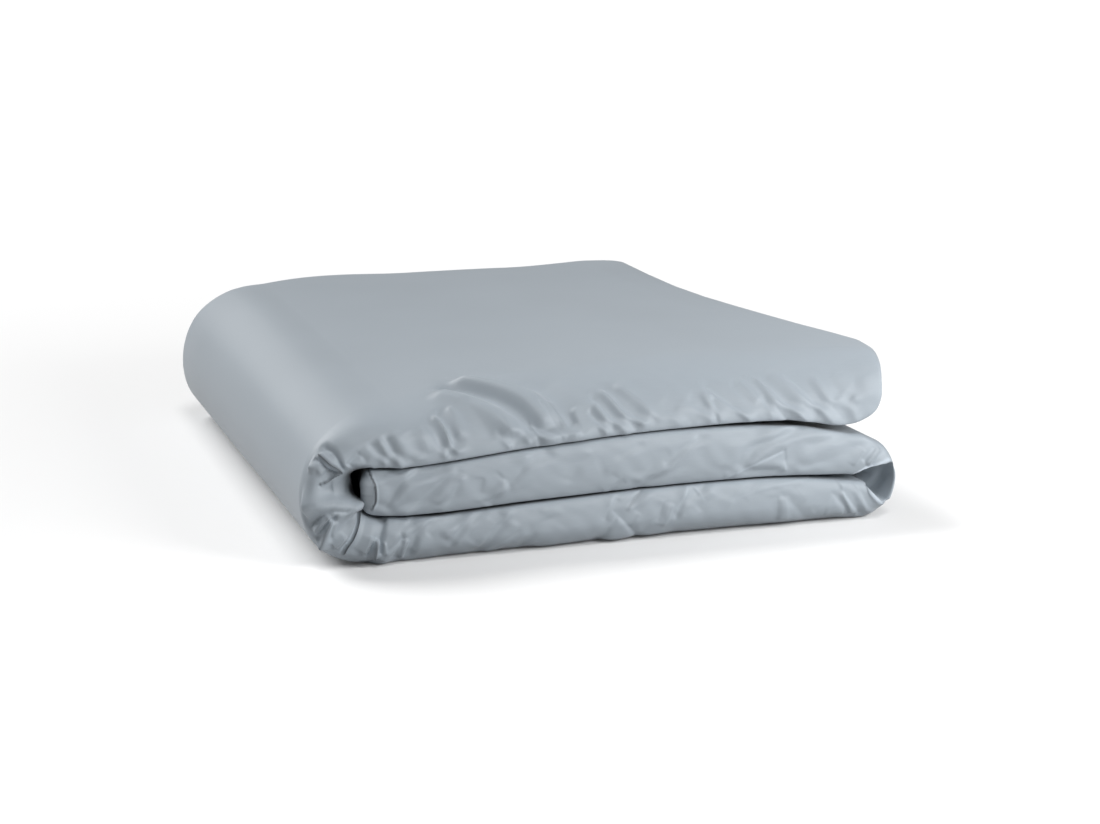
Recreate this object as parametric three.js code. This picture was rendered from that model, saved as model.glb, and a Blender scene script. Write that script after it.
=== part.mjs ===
// A filled duvet cover, folded in half across its width and then in three along its length, so that
// it lies as a stack of three puffy layers: the tucked-in end lies in the middle, the cloth turns
// round a tight bend on the right into the bottom layer, and round a big bend on the left into the
// top layer. Millimetres, +Z up, the front at -Y, the origin in the middle of the underside.

import * as THREE from 'three';
import { ParametricGeometry } from 'three/addons/geometries/ParametricGeometry.js';
import { mergeVertices } from 'three/addons/utils/BufferGeometryUtils.js';

const WIDTH = 656;
const DEPTH = 740;
const HEIGHT = 170;

// The section through the stack, a row for each place along the middle of the cloth, from the
// tucked-in end to the end on top. x is from the left side and z above the floor, half is half the
// layer's thickness, outer and inner say how deep the edge rounds off on either skin, front is how
// far the front edge stands back, and steps is the number of rings up to the next row.
const SECTION = [
  { x: 63, z: 75.5, half: 23, outer: 28, inner: 20, front: 8, steps: 2 },
  { x: 104, z: 71.5, half: 22.5, outer: 30, inner: 20, front: 5, steps: 12 },
  { x: 250, z: 78, half: 26, outer: 32, inner: 21, front: 4, steps: 12 },
  { x: 400, z: 83, half: 28, outer: 34, inner: 22, front: 4, steps: 11 },
  { x: 530, z: 79.5, half: 26, outer: 34, inner: 21, front: 4, steps: 2 },
  { x: 560, z: 76.5, half: 24.5, outer: 33, inner: 20, front: 4, steps: 3 },
  { x: 590, z: 72.5, half: 22, outer: 30, inner: 19, front: 4, steps: 2 },
  { x: 606, z: 70.5, half: 21.5, outer: 27, inner: 18, front: 4, steps: 2 },
  { x: 616, z: 68, half: 19.5, outer: 25, inner: 17, front: 4, steps: 2 },
  { x: 629, z: 61.5, half: 18, outer: 23, inner: 16, front: 4, steps: 2 },
  { x: 636, z: 51, half: 18, outer: 22, inner: 16, front: 4, steps: 2 },
  { x: 638, z: 40, half: 17.5, outer: 22, inner: 16, front: 3, steps: 2 },
  { x: 632.5, z: 27, half: 18.5, outer: 22, inner: 16, front: 2, steps: 2 },
  { x: 618, z: 20.5, half: 19.5, outer: 24, inner: 18, front: 2, steps: 2 },
  { x: 604, z: 21, half: 21, outer: 28, inner: 20, front: 2, steps: 2 },
  { x: 590, z: 22, half: 22, outer: 34, inner: 22, front: 2, steps: 5 },
  { x: 530, z: 25, half: 25.5, outer: 38, inner: 24, front: 0, steps: 11 },
  { x: 400, z: 26.4, half: 27, outer: 40, inner: 24, front: 0, steps: 12 },
  { x: 250, z: 24.3, half: 25, outer: 38, inner: 24, front: 0, steps: 12 },
  { x: 112, z: 22.7, half: 23.5, outer: 36, inner: 24, front: 2, steps: 4 },
  { x: 68, z: 26, half: 25, outer: 28, inner: 23, front: 0, steps: 4 },
  { x: 39, z: 43, half: 26, outer: 22, inner: 22, front: -2, steps: 4 },
  { x: 28, z: 76, half: 24, outer: 22, inner: 22, front: -2, steps: 4 },
  { x: 38, z: 107, half: 24, outer: 26, inner: 21, front: -2, steps: 4 },
  { x: 68, z: 124, half: 25.5, outer: 44, inner: 20, front: 0, steps: 4 },
  { x: 112, z: 124.5, half: 28.5, outer: 76, inner: 20, front: 0, steps: 12 },
  { x: 250, z: 136, half: 30, outer: 96, inner: 20, front: 0, steps: 13 },
  { x: 400, z: 144, half: 31, outer: 100, inner: 20, front: 0, steps: 11 },
  { x: 530, z: 143, half: 31, outer: 96, inner: 21, front: 0, steps: 2 },
  { x: 560, z: 141.5, half: 33.5, outer: 84, inner: 22, front: 0, steps: 3 },
  { x: 590, z: 139.5, half: 35.5, outer: 68, inner: 24, front: 0, steps: 3 },
  { x: 634, z: 141, half: 33, outer: 38, inner: 26, front: 0, steps: 0 },
];

// Both ends of the cloth are blunt and puffed: how far they round off, in how many rings, and how
// deep their corners are cut back.
const END = { round: 30, rings: 5, corner: 8, blunt: 3.4, outer: 26, inner: 26 };

// Points round one ring: over each quarter of the front and back edges, and over each skin.
const STEPS = { front: 7, back: 4, skin: 5 };

// The two halves part along the back edge: how deep the valley between them is, and how much of the
// half thickness it takes.
const PARTING = { deep: 24, share: 0.55 };

// How much higher the stack stands than its section, a row for each line from front to back at x.
// Lower layers rise in proportion to their height.
const CROWN = [
  { x: 0, front: 0, near: 6, far: 12, back: 12 },
  { x: 140, front: 0, near: 9, far: 19, back: 23 },
  { x: 300, front: 0, near: 4, far: 8, back: 7 },
  { x: 430, front: 0, near: 3, far: 3, back: 1 },
  { x: 550, front: 1, near: 2, far: 3, back: 6 },
  { x: 656, front: 8, near: 3, far: -1, back: 3 },
];
const CROWN_LINES = { front: 0, near: 240, far: 500, back: 740 };

// How far the end on top reaches past or short of its row in the section.
const END_LINE = [
  { y: 0, top: -3, tucked: 0 },
  { y: 90, top: 25, tucked: 18 },
  { y: 200, top: 11, tucked: 30 },
  { y: 340, top: -8, tucked: 26 },
  { y: 480, top: -24, tucked: 20 },
  { y: 740, top: -28, tucked: 12 },
];
const END_REACH = 240;

// The big bend on the left leans out at its foot, and in at its top, the more the further back.
const LEAN = [{ y: 0, out: 0 }, { y: 250, out: 1 }, { y: 500, out: 5 }, { y: 740, out: 6 }];
const LEAN_REACH = 120;

// The front edge is tucked in where the cloth turns on the right: between two crisp lips at s along
// the middle of the cloth it drops to one crease, and it runs out at both skins.
const TUCK = { from: 572, crease: 595, to: 613, deep: 34, hollow: 3 };

// The main folds of the front edges. Each is a soft ridge, or a trough where rise is below 0, from
// one place on the cloth to another: s is along the middle of the cloth and w the distance from the
// front edge line, over the outer skin if above 0 and over the inner skin if below 0.
const FOLDS = [
  { s: 1338, w: 4, toS: 1350, toW: -18, wide: 8, rise: 3 },
  { s: 1393, w: 10, toS: 1402, toW: -12, wide: 9, rise: -3 },
  { s: 1438, w: 40, toS: 1470, toW: -4, wide: 16, rise: -5 },
  { s: 1456, w: 44, toS: 1504, toW: -16, wide: 12, rise: 5 },
  { s: 1474, w: 52, toS: 1514, toW: -6, wide: 14, rise: -6 },
  { s: 1540, w: 0, toS: 1546, toW: -16, wide: 9, rise: -3 },
  { s: 1580, w: 14, toS: 1606, toW: -14, wide: 11, rise: 4 },
  { s: 1692, w: -8, toS: 1706, toW: -22, wide: 9, rise: -4 },
  { s: 1726, w: 8, toS: 1738, toW: -8, wide: 9, rise: 3 },
  { s: 1746, w: 2, toS: 1768, toW: -20, wide: 9, rise: -4 },
  { s: 1752, w: 8, toS: 1776, toW: -18, wide: 9, rise: 4 },
  { s: 1770, w: 2, toS: 1798, toW: -20, wide: 10, rise: -5 },
  { s: 1776, w: 12, toS: 1810, toW: -20, wide: 10, rise: 4 },
  { s: 1804, w: 6, toS: 1820, toW: -10, wide: 9, rise: -3 },
  { s: 30, w: -8, toS: 50, toW: 22, wide: 8, rise: 3 },
  { s: 52, w: 2, toS: 92, toW: 28, wide: 13, rise: -5 },
  { s: 58, w: -8, toS: 92, toW: 14, wide: 10, rise: 4 },
  { s: 120, w: -14, toS: 144, toW: 2, wide: 9, rise: -3 },
  { s: 258, w: 2, toS: 288, toW: 20, wide: 12, rise: -3 },
  { s: 296, w: -18, toS: 348, toW: 20, wide: 12, rise: -5 },
  { s: 312, w: -16, toS: 358, toW: 16, wide: 12, rise: 4 },
  { s: 398, w: -16, toS: 430, toW: 26, wide: 12, rise: 5 },
  { s: 416, w: -4, toS: 448, toW: 20, wide: 12, rise: -5 },
  { s: 450, w: -8, toS: 480, toW: 22, wide: 12, rise: 6 },
  { s: 424, w: -16, toS: 446, toW: -10, wide: 9, rise: -4 },
  { s: 468, w: -4, toS: 498, toW: 16, wide: 11, rise: -4 },
  { s: 1112, w: -24, toS: 1130, toW: 4, wide: 9, rise: 4 },
  { s: 1146, w: -24, toS: 1146, toW: -4, wide: 9, rise: -4 },
  { s: 1068, w: -22, toS: 1086, toW: -4, wide: 9, rise: 3 },
  { s: 1078, w: -26, toS: 1082, toW: -16, wide: 8, rise: -3 },
  { s: 1028, w: -20, toS: 1050, toW: 8, wide: 10, rise: 3 },
  { s: 882, w: -24, toS: 894, toW: -2, wide: 9, rise: 4 },
  { s: 904, w: 4, toS: 896, toW: 10, wide: 9, rise: -3 },
  { s: 834, w: -22, toS: 840, toW: -6, wide: 9, rise: -4 },
  { s: 728, w: -6, toS: 722, toW: 8, wide: 9, rise: -3 },
  { s: 654, w: -12, toS: 640, toW: 6, wide: 9, rise: 3 },
];

// The unseen back edge rounds off as the front does, but no deeper than this.
const BACK = { outer: 50, inner: 26 };

// The section's direction is taken over this much to either side.
const SAMPLE = 0.5;

const COLUMNS = ['x', 'z', 'half', 'outer', 'inner', 'front'];

// A smooth curve through the rows of a table, over the given places.
function through(places, rows, columns) {
  const values = rows.flatMap((row) => columns.map((name) => row[name]));
  const curve = new THREE.CubicInterpolant(places, values, columns.length);
  return (place) => [...curve.evaluate(place)];
}

function sectionLine(rows) {
  const along = [0];
  for (let i = 1; i < rows.length; i++) {
    along.push(along[i - 1] + Math.hypot(rows[i].x - rows[i - 1].x, rows[i].z - rows[i - 1].z));
  }
  return { along, length: along[along.length - 1], at: through(along, rows, COLUMNS) };
}

function ringStations(rows, line) {
  const rounding = (k) => END.round * (1 - Math.cos((k / END.rings) * Math.PI / 2));
  const stations = [];
  for (let k = 0; k < END.rings; k++) stations.push(rounding(k));
  rows.slice(0, -1).forEach((row, i) => {
    const from = i === 0 ? END.round : line.along[i];
    const to = i === rows.length - 2 ? line.length - END.round : line.along[i + 1];
    for (let k = 0; k < row.steps; k++) stations.push(from + (to - from) * k / row.steps);
  });
  for (let k = END.rings; k >= 0; k--) stations.push(line.length - rounding(k));
  return stations;
}

// The places round one ring: side is 1 on the outer skin and -1 on the inner one, turn runs from 0
// on the edge line to a right angle where the skin lies flat, and back from 0 in front to 1 behind.
function ringPlaces() {
  const quarter = Math.PI / 2;
  const half = (side) => {
    const places = [];
    for (let k = 0; k < STEPS.back; k++) places.push({ side, turn: quarter * k / STEPS.back, back: 1 });
    for (let k = STEPS.skin; k >= 0; k--) places.push({ side, turn: quarter, back: k / STEPS.skin });
    for (let k = STEPS.front - 1; k >= 0; k--) places.push({ side, turn: quarter * k / STEPS.front, back: 0 });
    return places;
  };
  return [...half(1), ...half(-1).slice(1, -1).reverse()];
}

function frameAt(line, s) {
  const [x, z, half, outer, inner, front] = line.at(s);
  const a = line.at(Math.max(s - SAMPLE, 0));
  const b = line.at(Math.min(s + SAMPLE, line.length));
  const run = new THREE.Vector2(b[0] - a[0], b[1] - a[1]).normalize();
  const toEnd = Math.min(s, line.length - s);
  const part = Math.min(toEnd / END.round, 1);
  const cap = (1 - (1 - part) ** END.blunt) ** (1 / END.blunt);
  return {
    x, z, cap, run,
    half: half * cap,
    outer: THREE.MathUtils.lerp(END.outer, outer, cap),
    inner: THREE.MathUtils.lerp(END.inner, inner, cap),
    front: front + (1 - cap) * END.corner,
    rear: (1 - cap) * END.corner,
  };
}

function partingDepth(rise, cap) {
  const share = Math.min(Math.abs(rise) / PARTING.share, 1);
  return PARTING.deep * cap * (1 - share) ** 2;
}

// How far the front edge is drawn in by the tuck at s.
function tuckDepth(s) {
  const { from, crease, to, deep } = TUCK;
  const into = s < crease ? (s - from) / (crease - from) : (to - s) / (to - crease);
  return deep * Math.max(into, 0);
}

// How far the folds lift the skin at s and w.
function foldRise(s, w) {
  let rise = 0;
  for (const fold of FOLDS) {
    const run = fold.toS - fold.s;
    const drop = fold.toW - fold.w;
    const along = ((s - fold.s) * run + (w - fold.w) * drop) / (run * run + drop * drop);
    const near = THREE.MathUtils.clamp(along, 0, 1);
    const away = Math.hypot(s - fold.s - run * near, w - fold.w - drop * near) / fold.wide;
    rise += fold.rise * Math.exp(-away * away);
  }
  return rise;
}

function duvetPoint(line, s, place) {
  const frame = frameAt(line, s);
  const skin = place.side > 0 ? 'outer' : 'inner';
  const round = 1 - Math.cos(place.turn);
  const share = place.side * Math.sin(place.turn);
  const tall = frame.half * share;
  const behind = Math.min(frame[skin], BACK[skin]);
  const back = DEPTH - frame.rear - behind * round - partingDepth(share, frame.cap);
  const y = THREE.MathUtils.lerp(frame[skin] * round, back - frame.front, place.back);
  const lift = foldRise(s, place.side * Math.hypot(y, tall)) * frame.cap;
  const out = tall + lift * share;
  const tuck = tuckDepth(s) * (1 - Math.abs(share) ** TUCK.hollow) * (1 - place.back);
  return new THREE.Vector3(
    frame.x - frame.run.y * out,
    frame.front + y + tuck - lift * Math.cos(place.turn) * (1 - place.back),
    frame.z + frame.run.x * out,
  );
}

const crownAt = through(CROWN.map((row) => row.x), CROWN, Object.keys(CROWN_LINES));
const leanAt = through(LEAN.map((row) => row.y), LEAN, ['out']);
const endAt = through(END_LINE.map((row) => row.y), END_LINE, ['top', 'tucked']);

function settle(point, s, length) {
  const rises = crownAt(THREE.MathUtils.clamp(point.x, 0, WIDTH)).map((rise) => ({ rise }));
  const rise = through(Object.values(CROWN_LINES), rises, ['rise']);
  const near = (toEnd) => THREE.MathUtils.smoothstep(END_REACH - toEnd, 0, END_REACH);
  const [top, tucked] = endAt(point.y);
  point.x += top * near(length - s) + tucked * near(s);
  const leant = (1 - 2 * point.z / HEIGHT) * (1 - THREE.MathUtils.smoothstep(point.x, 0, LEAN_REACH));
  point.x -= leanAt(point.y)[0] * leant;
  point.z = Math.max(point.z * (1 + rise(point.y)[0] / HEIGHT), 0);
}

function duvetGeometry() {
  const line = sectionLine(SECTION);
  const stations = ringStations(SECTION, line);
  const places = ringPlaces();
  const surface = (u, v, target) => {
    const place = places[Math.round(u * places.length) % places.length];
    const s = stations[Math.round(v * (stations.length - 1))];
    target.copy(duvetPoint(line, s, place));
    settle(target, s, line.length);
  };
  const skin = new ParametricGeometry(surface, places.length, stations.length - 1);
  skin.deleteAttribute('normal');
  skin.deleteAttribute('uv');
  skin.computeBoundingBox();
  const { min, max } = skin.boundingBox;
  skin.translate(-(min.x + max.x) / 2, -(min.y + max.y) / 2, 0);
  return mergeVertices(skin);
}

function duvetCover() {
  const sateen = new THREE.MeshStandardMaterial({ color: 0xa3abb3, roughness: 0.62, metalness: 0 });
  const mesh = new THREE.Mesh(duvetGeometry(), sateen);
  mesh.name = 'duvet_cover';
  return mesh;
}

const folded = new THREE.Group();
folded.add(duvetCover());

export default folded;
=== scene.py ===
"""A filled duvet cover in plain grey-blue sateen, folded to and fro into a low stack.

The cloth is one closed bag. It is followed along its middle from the tucked-in end (s = 0), round
the tight bend on the right into the bottom layer, round the big bend on the left into the top layer
and on to the end on top. Every fold is placed on this chart of the cloth, in millimetres: s along
the middle, and w from the front edge line, over the outer skin above 0 and over the inner below 0.
"""

import bmesh
import bpy
import numpy as np
from bpy.props import FloatProperty, FloatVectorProperty, PointerProperty
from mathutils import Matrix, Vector


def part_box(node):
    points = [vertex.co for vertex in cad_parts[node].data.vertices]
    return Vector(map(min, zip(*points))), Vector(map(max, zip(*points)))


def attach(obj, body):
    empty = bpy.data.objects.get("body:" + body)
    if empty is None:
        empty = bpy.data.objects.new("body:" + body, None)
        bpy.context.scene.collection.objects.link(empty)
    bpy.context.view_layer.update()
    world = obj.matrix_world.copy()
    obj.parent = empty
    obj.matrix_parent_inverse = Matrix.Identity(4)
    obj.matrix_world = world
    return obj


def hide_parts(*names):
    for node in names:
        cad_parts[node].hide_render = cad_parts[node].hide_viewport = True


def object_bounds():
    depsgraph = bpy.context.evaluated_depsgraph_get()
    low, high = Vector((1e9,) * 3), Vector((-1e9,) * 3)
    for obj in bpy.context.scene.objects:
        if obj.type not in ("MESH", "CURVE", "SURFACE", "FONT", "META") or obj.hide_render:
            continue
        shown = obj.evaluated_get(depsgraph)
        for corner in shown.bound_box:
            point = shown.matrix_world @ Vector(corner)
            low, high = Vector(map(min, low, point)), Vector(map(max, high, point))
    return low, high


bl_info = {
    "name": "Folded duvet cover",
    "version": (1, 0, 0),
    "blender": (4, 5, 0),
    "location": "3D View > Sidebar > Duvet",
    "description": "Fills, folds and creases a duvet cover, and lights it on a plain floor",
    "category": "Object",
}

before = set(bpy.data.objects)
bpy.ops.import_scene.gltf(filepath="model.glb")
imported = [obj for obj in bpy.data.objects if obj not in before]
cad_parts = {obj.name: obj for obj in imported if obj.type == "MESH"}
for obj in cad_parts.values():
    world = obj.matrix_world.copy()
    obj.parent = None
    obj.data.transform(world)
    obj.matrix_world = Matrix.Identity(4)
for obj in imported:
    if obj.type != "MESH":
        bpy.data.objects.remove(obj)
CAD_LOW, CAD_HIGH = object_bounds()
CLOTH_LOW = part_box("duvet_cover")[0]

MM = 0.001
QUARTER = np.pi / 2

# How far the outermost cloth stands from the lines x = 0 and y = 0 of the tables below.
EDGE_X, EDGE_Y = 3.1, -3.95


def table(names, *rows):
    """A table with named columns: one array for each column."""
    return dict(zip(names.split(), np.array(rows, float).T))


# The section through the stack, close to the solid's: x from the left side, z above the floor, half
# the layer's thickness, how deep the edge rounds off on either skin, how far the front stands back, and
# how much fuller the inner skin is in front.
SECTION = table(
    "x z half outer inner front fill",
    (63, 75.5, 23, 28, 16, 6, 0),
    (104, 72.7, 23.7, 30, 16, 3, 0),
    (250, 80.5, 27, 32, 17, 2, 0),
    (400, 85.7, 28.7, 34, 18, 2, 0),
    (530, 82, 26.5, 34, 18, 2, 0),
    (560, 77.5, 24.5, 33, 18, 3, 0),
    (590, 72.5, 22, 30, 19, 4, 0),
    (606, 70.5, 21.5, 27, 18, 4, 0),
    (616, 68, 19, 25, 17, 4, 0),
    (629, 61.5, 17.2, 23, 16, 4, 0),
    (635.5, 51, 16.5, 22, 16, 4, 0),
    (637, 40, 16, 22, 16, 3, 0),
    (629, 27, 17.8, 22, 16, 2, 0),
    (618, 20.5, 19.5, 24, 18, 2, 0),
    (604, 21, 21, 28, 20, 2, 0),
    (590, 22, 22, 34, 22, 2, 0),
    (530, 26, 26.5, 38, 18, 1, 0),
    (400, 27.3, 27.9, 40, 18, 1, 0),
    (250, 25, 25.8, 38, 18, 1, 0),
    (112, 22.7, 23.5, 36, 18, 2, 0),
    (68, 26, 25, 28, 22, 0, 1),
    (39, 43, 26, 22, 24, -2, 7),
    (28, 76, 24, 22, 26, -2, 11.5),
    (38, 107, 24, 26, 24, -2, 5),
    (68, 124, 25.5, 44, 16, 0, 0),
    (112, 125.7, 27.3, 76, 16, 0, 0),
    (250, 137.7, 28.3, 96, 16, 0, 0),
    (400, 145.7, 29.3, 100, 16, 0, 0),
    (530, 144.5, 29.5, 96, 18, 0, 0),
    (560, 142.5, 32.5, 84, 20, 0, 0),
    (590, 139.5, 35.5, 68, 24, 0, 0),
    (634, 141, 33, 38, 26, 0, 0),
)

WIDTH, HEIGHT = 656, 170
END = {"round": 30, "tuck": 13, "under": 1.7, "corner": 8, "blunt": 3.4, "outer": 26, "inner": 26}
BACK = {"outer": 50, "inner": 26}
PARTING_SHARE = 0.55
# Where the front edge is pressed against another layer it bows out a little, and turns into the gap
# round a tight corner, a superellipse of this power.
PRESSED = {"bow": 5, "corner": 11, "power": 7}
# How deep in the gap a painted shade starts to darken the cloth, and where it is at its darkest, as
# shares.
PAINTED_GAP_SHADE = (0.35, 0.9)
# The gaps open out, and get no painted shade, along this stretch.
OPEN_GAP = (470, 540, 680, 760)
# From here to there along the cloth, the edge goes over from upright to rolling back over the top.
ROLLED = (1335, 1420)

# Inside a gap the creases fade out from here to there round the edge, in w, and over this stretch
# the cloth is lifted straight ahead instead of square to its surface.
DEEP_IN_GAP = (31, 40)
TURNED_AHEAD = (8, 20)
# How much of the lift is left at the back, as a share.
LEFT_BEHIND = 0.4
# How high the small puckers and the slow unevenness are.
PUCKERS = {"small": 0.22, "slow": 0.7}

# The steps of the surface: rings round each end, and places round each ring on either side.
END_RINGS = 12
PLACES = {"back": 5, "skin": 10, "front": 34}

# The camera looks at this point, with this focal length on a picture of this width, in pixels.
CAMERA_TARGET = (0.0328, -0.0533, 0.070)
FOCAL_PX, PHOTO_WIDTH_PX = 2150, 1100
SENSOR_WIDTH = 36

# How light the sateen is: all over and by its threads and mottle, with a painted highlight on sharp crests
# and a painted shade in grooves.
SHADE = {"all": 0.93, "slubs": 0.08, "mottle": 0.06, "painted_crest_light": 0.42, "painted_groove_shade": 0.75}
# How fast the floor starts to glow away from the duvet, per metre.
GLOW_SLOPE = 0.33

# Stretches of the cloth that are gathered, and how much closer the steps of its surface are there.
GATHERED = table(
    "low high closer", (0, 60, 0.45), (535, 650, 0.45), (1125, 1315, 0.45), (8, 20, 0.25),
    (1181, 1193, 0.25), (1262, 1284, 0.2)
)

# How much higher the stack stands than its section, at x, on each line from front to back.
CROWN = table(
    "x front near far back",
    (0, 0, 6, 12, 12),
    (140, 0, 9, 19, 23),
    (300, 0, 4, 8, 7),
    (430, 0, 3, 3, 1),
    (550, 1, 2, 3, 6),
    (656, 8, 3, -1, 3),
)
CROWN_LINES = (0, 240, 500, 740)

# How far each end of the cloth reaches in x past its row in the section, at y from the front.
END_LINE = table(
    "y top tucked",
    (0, -7, 0),
    (90, 25, 18),
    (200, 11, 30),
    (340, -8, 26),
    (480, -24, 20),
    (740, -28, 12),
)
END_REACH = 240

# How far the big bend leans out at its foot, at y from the front.
LEAN = table("y out", (0, 0), (250, 1), (500, 5), (740, 6))
LEAN_REACH = 120


def fold(rise, wide, *path, lean=-0.3, crisp=0.5, fade=0.25):
    """One crease: how far it stands out, how wide it is, and its path of (s, w).

    Paths run to the right, so a crease with a lean below 0 is steeper on its lower side. A crisp one
    is sharp along its path and carries a stronger painted light there. Past either end of its path it
    fades out, over a share of the path's length.
    """
    path = np.array(path, float)
    tail = fade * np.hypot(*np.diff(path, axis=0).T).sum()
    first, last = path[0] - path[1], path[-1] - path[-2]
    path[0] += first * tail / np.hypot(*first)
    path[-1] += last * tail / np.hypot(*last)
    return {
        "path": path, "rise": rise, "wide": wide, "lean": lean, "crisp": crisp,
        "fade": fade / (1 + 2 * fade),
    }


# The folds of the front edge of the top layer, from the big bend to the end on top.
TOP_FOLDS = (
    fold(1.6, 4, (1298, -2), (1303, -14), crisp=0.6),
    fold(2.2, 5, (1313, 0), (1328, -21), crisp=0.6),
    fold(-2.0, 5, (1322, 2), (1334, -21)),
    fold(4.0, 6, (1328, 4), (1343, -24), crisp=0.7),
    fold(-1.8, 7, (1336, 7), (1347, -18)),
    fold(1.8, 8, (1351, 6), (1360, -18), crisp=0.3),
    fold(-1.5, 7, (1365, 8), (1369, -14)),
    fold(2.4, 6, (1376, 15), (1387, -18)),
    fold(-3.4, 5, (1384, 15), (1391, -1), (1392, -18), crisp=0.7),
    fold(3.4, 6, (1391, 22), (1396, 2), (1399, -16), crisp=0.6),
    fold(-2.0, 6, (1404, 23), (1405, -2)),
    fold(1.5, 10, (1424, 25), (1437, -9), crisp=0.2),
    fold(7.0, 14, (1418, 70), (1447, 37), (1463, 13), (1481, -4), (1493, -14), crisp=0.4),
    fold(-7.0, 14, (1436, 82), (1468, 38), (1482, 17), (1492, 1), crisp=0.4),
    fold(6.0, 14, (1438, 102), (1478, 60), (1504, 35), (1513, 11), (1520, -9), crisp=0.4),
    fold(-5.0, 14, (1404, 50), (1431, 20), (1450, 3), (1459, -8), crisp=0.3),
    fold(2.0, 5, (1444, -8), (1453, -22), crisp=0.6),
    fold(-1.5, 5, (1454, 1), (1459, -21)),
    fold(2.0, 5, (1468, 2), (1474, -21)),
    fold(-2.4, 4, (1481, -4), (1486, -25), crisp=0.7),
    fold(3.0, 5, (1483, -6), (1505, -20), crisp=0.7),
    fold(3.6, 6, (1497, 11), (1502, -2), (1511, -20), crisp=0.6),
    fold(-3.0, 5, (1506, 12), (1516, -10), crisp=0.6),
    fold(2.0, 7, (1518, -1), (1524, -20), crisp=0.4),
    fold(-2.2, 5, (1529, 1), (1532, -18)),
    fold(1.6, 4, (1536, -22), (1543, -10)),
    fold(3.2, 6, (1545, -3), (1557, -23), crisp=0.6),
    fold(-2.2, 5, (1552, 1), (1564, -20)),
    fold(3.0, 6, (1554, 9), (1564, -6), (1578, -25)),
    fold(-2.4, 6, (1566, 12), (1577, -5), (1588, -22)),
    fold(3.6, 7, (1570, 18), (1580, -1), (1597, -17)),
    fold(-1.8, 7, (1585, 16), (1601, 0), (1611, -15)),
    fold(1.6, 8, (1597, 15), (1610, 2), (1618, -14), crisp=0.3),
    fold(1.4, 8, (1624, -4), (1637, -23), crisp=0.3),
    fold(-1.2, 8, (1640, -8), (1652, -23), crisp=0.3),
    fold(2.2, 7, (1656, -2), (1673, -23), crisp=0.4),
    fold(-2.0, 5, (1670, 0), (1681, -22)),
    fold(2.6, 5, (1679, -4), (1684, -23), crisp=0.6),
    fold(3.4, 6, (1678, 8), (1697, -7), (1716, -24), crisp=0.6, lean=-0.4),
    fold(1.5, 7, (1705, 6), (1723, -13), crisp=0.3),
    fold(-2.0, 6, (1713, 9), (1727, -7)),
    fold(2.0, 6, (1725, 12), (1736, -2), (1744, -22)),
    fold(-3.2, 6, (1733, 9), (1744, -5), (1764, -29), crisp=0.6),
    fold(4.0, 7, (1740, 10), (1759, -8), (1784, -28), crisp=0.6, lean=-0.4),
    fold(-2.6, 8, (1752, 16), (1771, -2), (1792, -20), crisp=0.4),
    fold(4.0, 7, (1769, 11), (1792, -8), (1815, -28), crisp=0.6, lean=-0.4),
    fold(-2.6, 7, (1797, 8), (1815, -12), (1831, -28), crisp=0.4),
    fold(1.8, 7, (1801, 14), (1819, -5), crisp=0.3),
    fold(-1.2, 7, (1817, 16), (1830, 0), crisp=0.3),
    fold(1.4, 7, (1833, -9), (1844, -32)),
    fold(-2.0, 7, (1841, -10), (1852, -31)),
    fold(-1.6, 8, (1851, 7), (1861, -22), crisp=0.3),
)

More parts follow.
